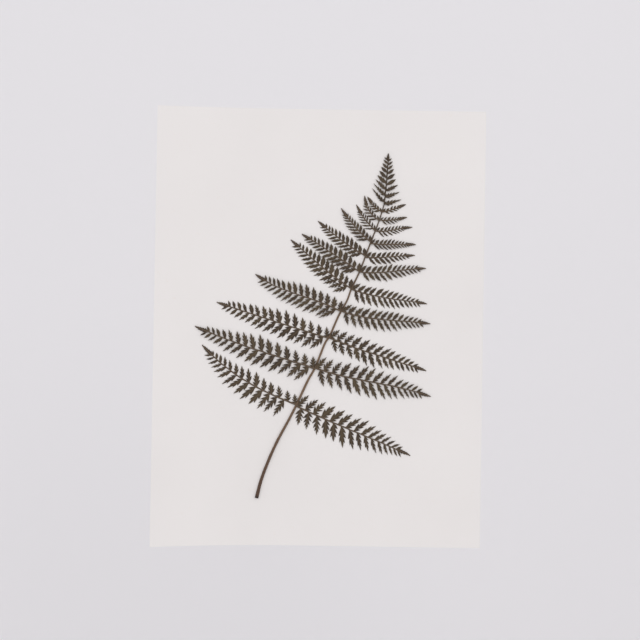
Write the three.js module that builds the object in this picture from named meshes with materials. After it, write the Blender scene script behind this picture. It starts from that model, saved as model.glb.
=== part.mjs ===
import * as THREE from "three";

// A pressed fern frond on a sheet of card that is fixed flat to a wall.
// Millimetres: +X is right and +Z is up. The back of the card lies in the plane y = 0, with the
// origin at its middle, and the frond is on the front of the card, towards -Y.

// The card
const cardWidth = 300;
const cardHeight = 400;
const cardThickness = 0.6;
const cardColumns = 12;
const cardRows = 6;

// Its left side has curled away from the wall, most at the bottom corner.
const curlStart = -25; // x where the card leaves the wall
const curlAtTop = 8; // how far the left edge stands out at the top corner
const curlAtBottom = 17; // and at the bottom corner

// Dried leaf lies in two layers, so that neighbours which cross don't touch.
const clearance = 0.3;
const leafThickness = 0.3;
const lowerLayer = clearance;
const upperLayer = lowerLayer + leafThickness + clearance;

// The stem: stipe and rachis in one, as points [x, z] from the cut end up to the frond's tip.
const stemRoute = [
  [-55.2, -156.7],
  [-51.3, -140.6],
  [-44.7, -122.2],
  [-36.6, -103.7],
  [-26.9, -85.2],
  [-20.2, -71.5],
  [-10, -49],
  [-3, -35.8],
  [5, -15],
  [9.8, -7],
  [17.4, 11],
  [24.9, 25],
  [28.8, 36],
  [36.1, 52],
  [45.6, 78],
  [53, 98],
  [57.4, 113],
];
const stemSteps = 40;
const stemSides = 6;
const stemWidthLow = 2.8;
const stemWidthHigh = 1;
const stemFlare = 0.5; // extra width at the cut end
const stemFlareLength = 10;
const stemDepthRatio = 0.62; // a pressed stem is flatter than it is wide

// The pinnae, from the lowest up. Each leaves the stem at height z and ends at its tip [x, z].
// bow is how far its axis is pushed to its left at a third and at two thirds of its length.
// above and below are the longest pinnule on each side, and the two angles that the pinnules
// make with the axis, at its base and at its tip. bare is the length of axis beside the stem that
// has no pinnules below it.
const leftPinnae = [
  { z: -71, tip: [-106.6, -17.3], bow: [7.5, 10], pairs: 14, bare: 11,
    above: [13.8, 68, 45], below: [18, 78, 50] },
  { z: -37.5, tip: [-113.1, -0.4], bow: [0.9, 3.7], pairs: 15, bare: 5,
    above: [15.5, 72, 48], below: [18.3, 60, 50] },
  { z: -9.5, tip: [-94.2, 21.9], bow: [0.7, 0.7], pairs: 15, bare: 4.5,
    above: [14.4, 70, 50], below: [17.4, 58, 48] },
  { z: 15, tip: [-59.4, 47.9], bow: [-2.8, 6.8], pairs: 14, bare: 2.5,
    above: [13.2, 70, 48], below: [17, 54, 48] },
  { z: 36, tip: [-27.5, 80.1], bow: [2.6, 0.8], pairs: 13, bare: 1.5,
    above: [10.6, 64, 48], below: [13.4, 56, 46] },
  { z: 51.5, tip: [-17.2, 85.5], bow: [-0.8, -0.4], pairs: 12, bare: 2,
    above: [10, 62, 48], below: [13, 46, 44] },
  { z: 66, tip: [-2.7, 97.6], bow: [1.5, 1.9], pairs: 11, bare: 1.5,
    above: [9.4, 56, 44], below: [11.8, 44, 42] },
  { z: 79, tip: [18.4, 109.6], bow: [2.1, 2.1], pairs: 9, bare: 1.5,
    above: [7.4, 50, 42], below: [10.8, 42, 40] },
  { z: 89.3, tip: [32.2, 113.1], bow: [1.6, 2.3], pairs: 7, bare: 1,
    above: [6.4, 46, 40], below: [8.4, 42, 40] },
  { z: 98.8, tip: [39.6, 121.2], bow: [4.4, 4.7], pairs: 6, bare: 0.5,
    above: [5.4, 44, 38], below: [7.2, 40, 38] },
  { z: 106.8, tip: [42.4, 120.2], bow: [2.4, 1], pairs: 5, bare: 0,
    above: [4.8, 44, 38], below: [5.6, 40, 38] },
];
const rightPinnae = [
  { z: -72, tip: [84.8, -116.1], bow: [-1.8, 1.1], pairs: 15, bare: 0,
    above: [17.8, 68, 40], below: [19, 76, 40] },
  { z: -37, tip: [102.7, -61.7], bow: [-3.9, 3.9], pairs: 15, bare: 0,
    above: [16.3, 68, 42], below: [18.7, 62, 42] },
  { z: -9, tip: [98.4, -38.2], bow: [-2.3, -0.2], pairs: 14, bare: 0,
    above: [14.2, 62, 42], below: [15, 56, 42] },
  { z: 15.5, tip: [101.6, 5], bow: [-6.1, -0.1], pairs: 14, bare: 0,
    above: [12, 56, 42], below: [14.4, 58, 43] },
  { z: 35.5, tip: [98.1, 23.1], bow: [-3.8, -0.6], pairs: 13, bare: 0,
    above: [10.7, 56, 42], below: [13.2, 54, 42] },
  { z: 51.5, tip: [96.9, 55.7], bow: [-4.1, 0.9], pairs: 12, bare: 0,
    above: [9.4, 52, 42], below: [11.3, 50, 42] },
  { z: 65, tip: [86.7, 67.3], bow: [-2.1, 0.7], pairs: 9, bare: 0,
    above: [7.6, 50, 40], below: [10, 42, 40] },
  { z: 77.5, tip: [87.2, 77], bow: [-1.1, 1.1], pairs: 10, bare: 0,
    above: [6.6, 52, 42], below: [8.8, 38, 38] },
  { z: 89.3, tip: [83.8, 93], bow: [-3.5, 1.9], pairs: 8, bare: 0,
    above: [5.8, 50, 40], below: [8.2, 37, 36] },
  { z: 99, tip: [78.8, 102.1], bow: [-1.8, -0.4], pairs: 6, bare: 0,
    above: [4.9, 44, 38], below: [7, 35, 34] },
  { z: 106.6, tip: [77.7, 114], bow: [-1.9, 0.1], pairs: 5, bare: 0,
    above: [4.8, 42, 36], below: [5.8, 27, 30] },
];
const bowAt = [1 / 3, 2 / 3];
const lastShoulderedPinna = 5; // from the next one up the pinnules are plain points

// The frond's tip: the end of the rachis with plain leaflets, shorter and closer towards its point.
// Its axis starts at the end of the stem and is bent by two handles.
const tipHandles = [
  [59, 124],
  [60.3, 145],
];
const tipEnd = [61, 161.4];
const tipPairs = 10;
const tipFirstLeafletAt = 0.03; // fractions of the tip's axis
const tipLastLeafletAt = 0.88;
const tipCrowding = 0.4;
const tipLeft = [17, 50, 56]; // first leaflet, and the angles at the base and at the point
const tipRight = [16, 65, 42];
const tipShortestShare = 0.2; // length of the last leaflet, as a share of the first
const tipShorteningPower = 0.75;
const tipLeafletWidth = 4;
const tipLeafletWidthShare = 0.4; // width of the last leaflet, as a share of the first
const tipAxisShare = 0.7; // its axis is thinner than a pinna's

// How pinnules are set along any pinna
const crowding = 0.34; // how much closer the pinnules stand towards the tip
const crowdingLead = 1.45; // above 1, the crowding comes later
const longestAt = 0.38; // fraction of the axis up to which the pinnules grow longer
const firstLengthShare = 0.78; // length of the first pinnule as a share of the longest
const lastLengthShare = 0.42; // and of the last one
const shorteningPower = 1.3;
const firstFoot = 1.4; // from the side of the stem to the middle of the first pinnule's foot
const pinnuleFill = 0.86; // share of its pitch that a pinnule fills
const stoutest = 0.48; // width of a pinnule at most, as a share of its length
const pinnuleFoot = 0.22; // half the width of its foot, as a share of its own width
const plainPinnuleFoot = 0.45; // the same for a plain point
const shoulderAt = 0.38; // where a pinnule is widest, along its length

// The end lobe, past the last pinnule
const endLobe = 12;
const endLobeShare = 0.34; // of the pinna at most
const endLobeWidestAt = 0.4; // along the lobe
const endLobeHalfWidth = 1.2;
const axisHalfWidthLow = 0.6;
const axisHalfWidthHigh = 0.3;

const searchSteps = 30; // halvings, enough for a thousandth of a millimetre
const nameDigits = 2;

const { lerp, degToRad } = THREE.MathUtils;

// How far the card stands out from the wall at a point of its face.
function curlAt(x, z) {
  const across = Math.max(0, (curlStart - x) / (curlStart + cardWidth / 2));
  const down = (cardHeight / 2 - z) / cardHeight;
  return lerp(curlAtTop, curlAtBottom, down) * across ** 2;
}

// Bends a flat geometry to the curl of the card.
function curl(geometry) {
  const position = geometry.getAttribute("position");
  for (let i = 0; i < position.count; i += 1) {
    const out = curlAt(position.getX(i), position.getZ(i));
    position.setY(i, position.getY(i) - out);
  }
  geometry.computeVertexNormals();
  return geometry;
}

// A leaf cut to an outline of [x, z] points, at a height over the face of the card.
function leaf(outline, height) {
  const shape = new THREE.Shape(outline);
  const geometry = new THREE.ExtrudeGeometry(shape, { depth: leafThickness, bevelEnabled: false });
  geometry.rotateX(Math.PI / 2);
  geometry.translate(0, -cardThickness - height, 0);
  return curl(geometry);
}

function cardGeometry() {
  const sheet = new THREE.BoxGeometry(cardWidth, cardThickness, cardHeight, cardColumns, 1, cardRows);
  sheet.translate(0, -cardThickness / 2, 0);
  return curl(sheet);
}

const stemCurve = new THREE.SplineCurve(stemRoute.map(([x, z]) => new THREE.Vector2(x, z)));
const stemLength = stemCurve.getLength();

// Half the width of the stem at a share of its length.
function stemHalfWidth(share) {
  const flare = Math.max(0, 1 - (share * stemLength) / stemFlareLength) * stemFlare;
  return (lerp(stemWidthLow, stemWidthHigh, share) + flare) / 2;
}

// The share of the stem's length at which it reaches height z.
function stemShareAt(z) {
  let low = 0;
  let high = 1;
  for (let step = 0; step < searchSteps; step += 1) {
    const middle = (low + high) / 2;
    if (stemCurve.getPointAt(middle).y < z) low = middle;
    else high = middle;
  }
  return low;
}

// A straight oval bar, then each of its rings is moved on to the route and given its own width.
function stemGeometry() {
  const oval = new THREE.Shape();
  oval.absarc(0, 0, 1, 0, Math.PI * 2);
  const bar = new THREE.ExtrudeGeometry(oval, {
    depth: 1,
    steps: stemSteps,
    curveSegments: stemSides / 2,
    bevelEnabled: false,
  });
  const position = bar.getAttribute("position");
  for (let i = 0; i < position.count; i += 1) {
    const share = position.getZ(i);
    const halfWidth = stemHalfWidth(share);
    const centre = stemCurve.getPointAt(share);
    const along = stemCurve.getTangentAt(share);
    const across = position.getX(i) * halfWidth;
    const halfDepth = halfWidth * stemDepthRatio;
    const depth = (1 - position.getY(i)) * halfDepth;
    position.setXYZ(
      i,
      centre.x + along.y * across,
      -cardThickness - lowerLayer - depth,
      centre.y - along.x * across,
    );
  }
  return curl(bar);
}

// The axis of a pinna, from the middle of the stem to its tip.
function pinnaAxis(pinna) {
  const base = stemCurve.getPointAt(stemShareAt(pinna.z));
  const tip = new THREE.Vector2(...pinna.tip);
  const chord = tip.clone().sub(base);
  const side = new THREE.Vector2(-chord.y, chord.x).normalize();
  const towards = Math.sign(chord.x);
  const handles = bowAt.map((share, i) => {
    const onChord = base.clone().addScaledVector(chord, share);
    return onChord.addScaledVector(side, pinna.bow[i]);
  });
  return { curve: new THREE.CubicBezierCurve(base, ...handles, tip), towards };
}

// Where the leaf of a pinna may start: clear of the side of the stem.
function firstShare(pinna, axis, length) {
  const share = stemShareAt(pinna.z);
  const along = stemCurve.getTangentAt(share);
  const out = axis.curve.getTangentAt(0);
  const sine = Math.abs(along.cross(out));
  const cosine = Math.abs(along.dot(out));
  const reach = stemHalfWidth(share) + clearance + axisHalfWidthLow * cosine;
  return reach / sine / length;
}

// Where the pinnules stand: order runs from 0 at the first to 1 at the last, and so does the place.
function crowded(order, amount, lead) {
  return order + amount * order ** lead * (1 - order);
}

// How far apart they stand there, as a share of even spacing.
function crowdedPitch(order, amount, lead) {
  return 1 + amount * (lead * order ** (lead - 1) * (1 - order) - order ** lead);
}

function pinnuleLength(share, last, longest) {
  if (share < longestAt) return longest * lerp(firstLengthShare, 1, share / longestAt);
  const past = (share - longestAt) / (last - longestAt);
  return longest * lerp(1, lastLengthShare, past ** shorteningPower);
}

// One pinnule's outline, foot to foot, for a place on an axis; turn is +1 to the left of it.
function pinnule(place, along, turn, angle, length, width, halfAxis, shouldered) {
  const side = new THREE.Vector2(-along.y, along.x).multiplyScalar(turn);
  const out = along.clone().rotateAround(new THREE.Vector2(), turn * degToRad(angle));
  const across = along.clone().addScaledVector(out, -along.dot(out)).normalize();
  const foot = place.clone().addScaledVector(side, halfAxis);
  const shoulder = foot.clone().addScaledVector(out, length * shoulderAt);
  const halfFoot = width * (shouldered ? pinnuleFoot : plainPinnuleFoot);
  const points = [foot.clone().addScaledVector(along, -halfFoot)];
  if (shouldered) points.push(shoulder.clone().addScaledVector(across, -width / 2));
  points.push(foot.clone().addScaledVector(out, length));
  if (shouldered) points.push(shoulder.clone().addScaledVector(across, width / 2));
  points.push(foot.clone().addScaledVector(along, halfFoot));
  return points;
}

// One side of a pinna, from the stem to the tip.
function pinnaSide(pinna, axis, turn, sizes, bare, shouldered) {
  const [longest, ...angles] = sizes;
  const length = axis.curve.getLength();
  const lobe = Math.min(endLobe / length, endLobeShare);
  const start = firstShare(pinna, axis, length);
  const first = start + (firstFoot + bare) / length;
  const last = 1 - lobe;
  const gaps = pinna.pairs - 1;
  const evenPitch = ((last - first) / gaps) * length;
  const points = [edgePoint(axis.curve, start, turn)];
  for (let i = 0; i < pinna.pairs; i += 1) {
    const order = i / gaps;
    const share = lerp(first, last, crowded(order, crowding, crowdingLead));
    const angle = lerp(angles[0], angles[1], order);
    const reach = pinnuleLength(share, last, longest);
    const room = evenPitch * crowdedPitch(order, crowding, crowdingLead) * Math.sin(degToRad(angle));
    const width = Math.min(room * pinnuleFill, reach * stoutest);
    const place = axis.curve.getPointAt(share);
    const along = axis.curve.getTangentAt(share);
    points.push(...pinnule(place, along, turn, angle, reach, width, axisHalfWidth(share), shouldered));
  }
  points.push(edgePoint(axis.curve, last + lobe * endLobeWidestAt, turn, endLobeHalfWidth));
  return points;
}

function axisHalfWidth(share) {
  return lerp(axisHalfWidthLow, axisHalfWidthHigh, share);
}

function edgePoint(curve, share, turn, halfWidth = axisHalfWidth(share)) {
  const along = curve.getTangentAt(share);
  const side = new THREE.Vector2(-along.y, along.x).multiplyScalar(turn);
  return curve.getPointAt(share).addScaledVector(side, halfWidth);
}

function pinnaGeometry(pinna, order) {
  const axis = pinnaAxis(pinna);
  const shouldered = order <= lastShoulderedPinna;
  const above = pinnaSide(pinna, axis, axis.towards, pinna.above, 0, shouldered);
  const below = pinnaSide(pinna, axis, -axis.towards, pinna.below, pinna.bare, shouldered);
  const outline = [...above, new THREE.Vector2(...pinna.tip), ...below.reverse()];
  return leaf(outline, order % 2 ? lowerLayer : upperLayer);
}

// The frond's tip starts just past the end of the stem.
function tipGeometry() {
  const along = stemCurve.getTangentAt(1);
  const start = stemCurve.getPointAt(1).addScaledVector(along, clearance);
  const end = new THREE.Vector2(...tipEnd);
  const handles = tipHandles.map((point) => new THREE.Vector2(...point));
  const axis = new THREE.CubicBezierCurve(start, ...handles, end);
  const left = tipSide(axis, 1, tipLeft);
  const right = tipSide(axis, -1, tipRight);
  return leaf([...left, end, ...right.reverse()], upperLayer);
}

function tipSide(axis, turn, sizes) {
  const [longest, ...angles] = sizes;
  const points = [edgePoint(axis, 0, turn)];
  for (let i = 0; i < tipPairs; i += 1) {
    const order = i / (tipPairs - 1);
    const share = lerp(tipFirstLeafletAt, tipLastLeafletAt, crowded(order, tipCrowding, 1));
    const reach = longest * lerp(1, tipShortestShare, order ** tipShorteningPower);
    const width = tipLeafletWidth * lerp(1, tipLeafletWidthShare, order);
    const angle = lerp(angles[0], angles[1], order);
    const place = axis.getPointAt(share);
    const along = axis.getTangentAt(share);
    const halfAxis = axisHalfWidth(share) * tipAxisShare;
    points.push(...pinnule(place, along, turn, angle, reach, width, halfAxis, true));
  }
  return points;
}

function card() {
  const paper = new THREE.MeshStandardMaterial({ color: "#e9e6e3", roughness: 0.9, metalness: 0 });
  return new THREE.Mesh(cardGeometry(), paper);
}

function stem() {
  const driedStem = new THREE.MeshStandardMaterial({ color: "#6b5438", roughness: 0.75, metalness: 0 });
  return new THREE.Mesh(stemGeometry(), driedStem);
}

function driedLeaf(geometry) {
  const leafFinish = new THREE.MeshStandardMaterial({ color: "#4c4535", roughness: 0.85, metalness: 0 });
  return new THREE.Mesh(geometry, leafFinish);
}

const specimen = new THREE.Group();
function add(name, mesh) {
  mesh.name = name;
  specimen.add(mesh);
}
function addPinnae(side, pinnae) {
  pinnae.forEach((pinna, i) => {
    const number = String(i + 1).padStart(nameDigits, "0");
    add(`pinna_${side}_${number}`, driedLeaf(pinnaGeometry(pinna, i + 1)));
  });
}
add("card", card());
add("stem", stem());
addPinnae("left", leftPinnae);
addPinnae("right", rightPinnae);
add("frond_tip", driedLeaf(tipGeometry()));

export default specimen;
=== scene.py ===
import math

import bmesh
import bpy
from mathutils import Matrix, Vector, kdtree, noise
from mathutils.geometry import interpolate_bezier


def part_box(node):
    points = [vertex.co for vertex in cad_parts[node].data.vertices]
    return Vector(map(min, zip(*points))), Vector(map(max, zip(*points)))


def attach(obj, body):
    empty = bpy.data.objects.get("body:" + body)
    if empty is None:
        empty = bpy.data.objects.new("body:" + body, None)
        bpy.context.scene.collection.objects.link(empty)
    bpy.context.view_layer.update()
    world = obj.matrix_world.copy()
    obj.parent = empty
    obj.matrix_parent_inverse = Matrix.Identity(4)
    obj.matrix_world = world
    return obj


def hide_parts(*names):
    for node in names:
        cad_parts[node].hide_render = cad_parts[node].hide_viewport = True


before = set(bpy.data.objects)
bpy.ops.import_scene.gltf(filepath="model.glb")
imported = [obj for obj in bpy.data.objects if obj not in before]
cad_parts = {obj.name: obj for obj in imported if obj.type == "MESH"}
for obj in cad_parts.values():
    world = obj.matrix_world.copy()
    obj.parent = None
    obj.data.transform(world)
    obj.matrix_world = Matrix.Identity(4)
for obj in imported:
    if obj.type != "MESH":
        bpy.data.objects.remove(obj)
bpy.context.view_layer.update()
scene = bpy.context.scene
scene.view_settings.view_transform = "Standard"
mm = 0.001


# shared by all the pieces

def linear(code):
    # an sRGB hex colour as the linear values that a shader takes
    parts = [int(code[i:i + 2], 16) / 255 for i in (1, 3, 5)]
    return [p / 12.92 if p <= 0.04045 else ((p + 0.055) / 1.055) ** 2.4 for p in parts] + [1]


def blend(a, b, share):
    return a + (b - a) * share


def addNode(tree, kind, inputs=(), **settings):
    # settings are the node's own properties; inputs go by name or place, and each is a value,
    # a socket that feeds it, or a node whose first output does
    node = tree.nodes.new(kind)
    for name, value in settings.items():
        setattr(node, name, value)
    for key, value in (inputs if isinstance(inputs, dict) else dict(enumerate(inputs))).items():
        source = value.outputs[0] if isinstance(value, bpy.types.Node) else value
        if isinstance(source, bpy.types.NodeSocket):
            tree.links.new(source, node.inputs[key])
        else:
            node.inputs[key].default_value = source
    return node


def newMaterial(name, roughness, ior, gloss=0.5):
    material = bpy.data.materials.new(name)
    material.use_nodes = True
    tree = material.node_tree
    tree.nodes.clear()
    shader = addNode(tree, "ShaderNodeBsdfPrincipled", {
        "Roughness": roughness, "IOR": ior, "Specular IOR Level": gloss})
    addNode(tree, "ShaderNodeOutputMaterial", [shader])
    return material, tree, shader


def newPiece(name, mesh):
    piece = bpy.data.objects.new(name, mesh)
    scene.collection.objects.link(piece)
    return piece


def dress(piece, node):
    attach(piece, "root")
    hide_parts(node)


def reachedAlong(line):
    # the length of a line up to each of its points
    reached = [0.0]
    for a, b in zip(line, line[1:]):
        reached.append(reached[-1] + (b - a).length)
    return reached


# the card: its size comes from the frame

card = {
    "thickness": 0.6 * mm,
    "curlStart": -25 * mm,      # x where it leaves the wall
    "curlTop": 8 * mm,          # how far the left edge stands out at the top corner
    "curlBottom": 17 * mm,      # and at the bottom corner
    "columns": 96,
    "rows": 128,
    "cockle": 0.25 * mm,        # slow waves left by damp and drying, in the part that is loose
    "cockleLength": 110 * mm,
    "cockleRise": 2,            # they are full half of the way to the left edge,
    "cockleFall": 4,            # and die out towards it by this power
    "cockleSlice": 0.31,        # where the noise is cut
    "edgeAngle": 50,            # degrees; a sharper fold of the mesh is an edge
}
cardLow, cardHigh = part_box("card")


def standOff(x, z):
    # how far the card stands out from the wall, by its curl and its waves
    across = max(0.0, (card["curlStart"] - x) / (card["curlStart"] - cardLow.x))
    down = (cardHigh.z - z) / (cardHigh.z - cardLow.z)
    curl = blend(card["curlTop"], card["curlBottom"], down) * across ** 2
    wave = noise.noise(Vector((x, card["cockleSlice"], z)) / card["cockleLength"])
    wave = (wave * 0.5 + 0.5) * card["cockle"] * min(1, across * card["cockleRise"])
    return curl + wave * (1 - across ** card["cockleFall"])


def cardSheet():
    # two grids, front and back, joined by a rim
    bm = bmesh.new()
    uv = bm.loops.layers.uv.new("UVMap")
    columns, rows = card["columns"], card["rows"]
    front, back = [], []
    for side, depth in ((front, card["thickness"]), (back, 0)):
        for j in range(rows + 1):
            z = blend(cardLow.z, cardHigh.z, j / rows)
            xs = [blend(cardLow.x, cardHigh.x, i / columns) for i in range(columns + 1)]
            side.append([bm.verts.new((x, -depth - standOff(x, z), z)) for x in xs])
    for j in range(rows):
        for i in range(columns):
            bm.faces.new((front[j][i], front[j][i + 1], front[j + 1][i + 1], front[j + 1][i]))
            bm.faces.new((back[j][i], back[j + 1][i], back[j + 1][i + 1], back[j][i + 1]))
    rim = [(0, i) for i in range(columns)] + [(j, columns) for j in range(rows)]
    rim += [(rows, i) for i in range(columns, 0, -1)] + [(j, 0) for j in range(rows, 0, -1)]
    for (j, i), (nextJ, nextI) in zip(rim, rim[1:] + rim[:1]):
        bm.faces.new((front[j][i], back[j][i], back[nextJ][nextI], front[nextJ][nextI]))
    for face in bm.faces:
        face.smooth = True
        for loop in face.loops:
            loop[uv].uv = (loop.vert.co.x - cardLow.x, loop.vert.co.z - cardLow.z)
    mesh = bpy.data.meshes.new("cardSheet")
    bm.to_mesh(mesh)
    bm.free()
    mesh.set_sharp_from_angle(angle=math.radians(card["edgeAngle"]))
    return newPiece("cardSheet", mesh)


def cottonCard():
    # uncoated cotton card, felt-pressed: warm white and quite matt, with a soft tooth
    look = {
        "white": "#ece8e6", "shade": "#e6e2e0", "warm": "#e6ddd3",
        "cloud": 90 * mm,       # across one patch of tone
        "tooth": 1.2 * mm,      # real felt marks are about 0.4 mm; coarser here so that they show
        "fibre": 2.5 * mm,
        "fibreTwist": 1.5,
        "fleckFrom": 0.62, "fleckFull": 0.8, "fleckMost": 0.4,  # of the fibre noise
        "relief": 0.04 * mm, "reliefStrength": 0.4,
    }
    material, tree, shader = newMaterial("uncoatedCottonCard", roughness=0.92, ior=1.47, gloss=0.3)
    place = addNode(tree, "ShaderNodeTexCoord").outputs["Object"]
    cloud = addNode(tree, "ShaderNodeTexNoise", {"Vector": place, "Scale": 1 / look["cloud"]})
    tone = addNode(tree, "ShaderNodeMix", {
        0: cloud, 6: linear(look["white"]), 7: linear(look["shade"])}, data_type="RGBA")
    fibre = addNode(tree, "ShaderNodeTexNoise", {
        "Vector": place, "Scale": 1 / look["fibre"], "Detail": 4, "Distortion": look["fibreTwist"]})
    fleck = addNode(tree, "ShaderNodeMapRange", {
        "Value": fibre, "From Min": look["fleckFrom"], "From Max": look["fleckFull"],
        "To Max": look["fleckMost"]})
    paper = addNode(tree, "ShaderNodeMix", {
        0: fleck, 6: tone.outputs[2], 7: linear(look["warm"])}, data_type="RGBA")
    tree.links.new(paper.outputs[2], shader.inputs["Base Color"])
    tooth = addNode(tree, "ShaderNodeTexNoise", {
        "Vector": place, "Scale": 1 / look["tooth"], "Detail": 3})
    bump = addNode(tree, "ShaderNodeBump", {
        "Height": tooth, "Strength": look["reliefStrength"], "Distance": look["relief"]})
    tree.links.new(bump.outputs[0], shader.inputs["Normal"])
    return material


sheet = cardSheet()
sheet.data.materials.append(cottonCard())
dress(sheet, "card")
print("card made")


# the stem: stipe and rachis in one, through points (x, z) in millimetres from the cut end up

stem = {
    "route": [(-55.2, -156.7), (-51.3, -140.6), (-44.7, -122.2), (-36.6, -103.7), (-26.9, -85.2),
              (-20.2, -71.5), (-10, -49), (-3, -35.8), (5, -15), (9.8, -7), (17.4, 11),
              (24.9, 25), (28.8, 36), (36.1, 52), (45.6, 78), (53, 98), (57.4, 113)],
    "lift": 0.3 * mm,           # clear of the card
    "widthLow": 2.8 * mm,
    "widthHigh": 1.0 * mm,
    "flare": 0.5 * mm,          # extra width at the cut end
    "flareLength": 10 * mm,
    "depthRatio": 0.62,
    "furrow": 0.22,             # along its face, as a share of its depth
    "furrowWidth": 0.3,         # as a share of its half width, as are the next two
    "wrinkleDepth": 0.04,
    "uneven": 0.06,
    "wrinkles": 6,              # round it
    "wrinkleTwist": 9,          # radians from end to end
    "lumps": 45,                # that make it uneven, along its length
    "lumpSlice": (0.5, 2.1),    # where their noise is cut
    "sunkPith": 0.3 * mm,       # at the cut end
    "steps": 220,
    "sides": 18,
    "edgeAngle": 60,            # degrees; a sharper fold of the mesh is an edge
}


def smoothLine(points, perSpan=16):
    # through all the points, with the slope at each set by its neighbours
    points = [points[0] * 2 - points[1]] + points + [points[-1] * 2 - points[-2]]
    line = []
    for a, b, c, d in zip(points, points[1:], points[2:], points[3:]):
        line += interpolate_bezier(b, b + (c - a) / 6, c - (d - b) / 6, c, perSpan)[:-1]
    return line + [points[-2]]


stemLine = smoothLine([Vector(point) * mm for point in stem["route"]])
stemReached = reachedAlong(stemLine)
stemPoints = kdtree.KDTree(len(stemLine))
for k, point in enumerate(stemLine):
    stemPoints.insert((*point, 0), k)
stemPoints.balance()


def stemSpot(share):
    # the middle of the stem and its direction at a share of its length
    wanted = share * stemReached[-1]
    last = len(stemLine) - 1
    k = next(i for i in range(1, last + 1) if stemReached[i] >= wanted or i == last)
    a, b = stemLine[k - 1], stemLine[k]
    return a.lerp(b, (wanted - stemReached[k - 1]) / (b - a).length), (b - a).normalized()


def stemShareAt(z):
    # the share of its length at which the stem reaches a height
    k = next(i for i in range(1, len(stemLine)) if stemLine[i].y >= z)
    a, b = stemLine[k - 1], stemLine[k]
    return blend(stemReached[k - 1], stemReached[k], (z - a.y) / (b.y - a.y)) / stemReached[-1]


def stemHalfWidth(share):
    flare = max(0, 1 - share * stemReached[-1] / stem["flareLength"]) * stem["flare"]
    return (blend(stem["widthLow"], stem["widthHigh"], share) + flare) / 2


def stipeAndRachis():
    bm = bmesh.new()
    uv = bm.loops.layers.uv.new("UVMap")
    steps, sides = stem["steps"], stem["sides"]
    rings = []
    for k in range(steps + 1):
        share = k / steps
        centre, along = stemSpot(share)
        lump = noise.noise(Vector((share * stem["lumps"], *stem["lumpSlice"])))
        half = stemHalfWidth(share) * (1 + stem["uneven"] * lump)
        ring = []
        for s in range(sides):
            turn = 2 * math.pi * s / sides
            wrinkle = math.cos(turn * stem["wrinkles"] + share * stem["wrinkleTwist"])
            ridge = 1 + stem["wrinkleDepth"] * wrinkle
            furrow = stem["furrow"] * math.exp(-(math.cos(turn) / stem["furrowWidth"]) ** 2)
            furrow *= math.sin(turn) > 0    # on its face only
            across = math.cos(turn) * ridge * half
            height = (1 + math.sin(turn) * ridge - furrow) * half * stem["depthRatio"]
            x, z = centre.x + along.y * across, centre.y - along.x * across
            y = -card["thickness"] - standOff(x, z) - stem["lift"] - height
            ring.append(bm.verts.new((x, y, z)))
        rings.append(ring)
    for k in range(steps):
        for s in range(sides):
            t = (s + 1) % sides
            face = bm.faces.new((rings[k][s], rings[k][t], rings[k + 1][t], rings[k + 1][s]))
            face.smooth = True
            corners = (s, k), (s + 1, k), (s + 1, k + 1), (s, k + 1)
            for loop, (around, step) in zip(face.loops, corners):
                loop[uv].uv = (around / sides, step / steps)
    upward = (rings[1][0].co - rings[0][0].co).normalized()
    for ring, sunk in ((rings[0], stem["sunkPith"]), (rings[-1], 0)):
        middle = bm.verts.new(sum((v.co for v in ring), Vector()) / sides + upward * sunk)
        for a, b in zip(ring, ring[1:] + ring[:1]):
            bm.faces.new((a, b, middle))
    bmesh.ops.recalc_face_normals(bm, faces=bm.faces)
    mesh = bpy.data.meshes.new("stipeAndRachis")
    bm.to_mesh(mesh)
    bm.free()
    mesh.set_sharp_from_angle(angle=math.radians(stem["edgeAngle"]))
    return newPiece("stipeAndRachis", mesh)


def driedStalk():
    # a dried fern stalk: dull brown with fine lengthwise wrinkles, redder low down, leaf brown
    # where it runs out into the blade, and dark where cut
    look = {
        "pale": "#866a4f", "dark": "#49382b",
        # wrinkles are about 0.3 mm apart round the stalk and some 10 mm long
        "streaks": (12, 30, 1), "streakScale": 1.5,
        # each: colour, the shares of the length where it begins and where it is full, strength
        "tints": [("#4a3224", 0.36, 0.05, 0.85), ("#4d3f30", 0.5, 0.95, 0.75),
                  ("#2c211a", 0.012, 0.002, 0.9)],
        "relief": 0.12 * mm, "reliefStrength": 0.5,
    }
    material, tree, shader = newMaterial("driedFernStalk", roughness=0.68, ior=1.5)
    spread = addNode(tree, "ShaderNodeUVMap", uv_map="UVMap")
    streaks = addNode(tree, "ShaderNodeMapping", {"Vector": spread, "Scale": look["streaks"]})
    grain = addNode(tree, "ShaderNodeTexNoise", {
        "Vector": streaks, "Scale": look["streakScale"], "Detail": 5})
    colour = addNode(tree, "ShaderNodeMix", {
        0: grain, 6: linear(look["dark"]), 7: linear(look["pale"])}, data_type="RGBA")
    height = addNode(tree, "ShaderNodeSeparateXYZ", [spread]).outputs["Y"]
    for tint, begins, full, strength in look["tints"]:
        here = addNode(tree, "ShaderNodeMapRange", {
            "Value": height, "From Min": begins, "From Max": full, "To Max": strength})
        colour = addNode(tree, "ShaderNodeMix", {
            0: here, 6: colour.outputs[2], 7: linear(tint)}, data_type="RGBA")
    tree.links.new(colour.outputs[2], shader.inputs["Base Color"])
    bump = addNode(tree, "ShaderNodeBump", {
        "Height": grain, "Strength": look["reliefStrength"], "Distance": look["relief"]})
    tree.links.new(bump.outputs[0], shader.inputs["Normal"])
    return material


stalk = stipeAndRachis()
stalk.data.materials.append(driedStalk())
dress(stalk, "stem")
print("stem made")


# the pinnules, as forms one long and one wide that every pinna is set with

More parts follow.
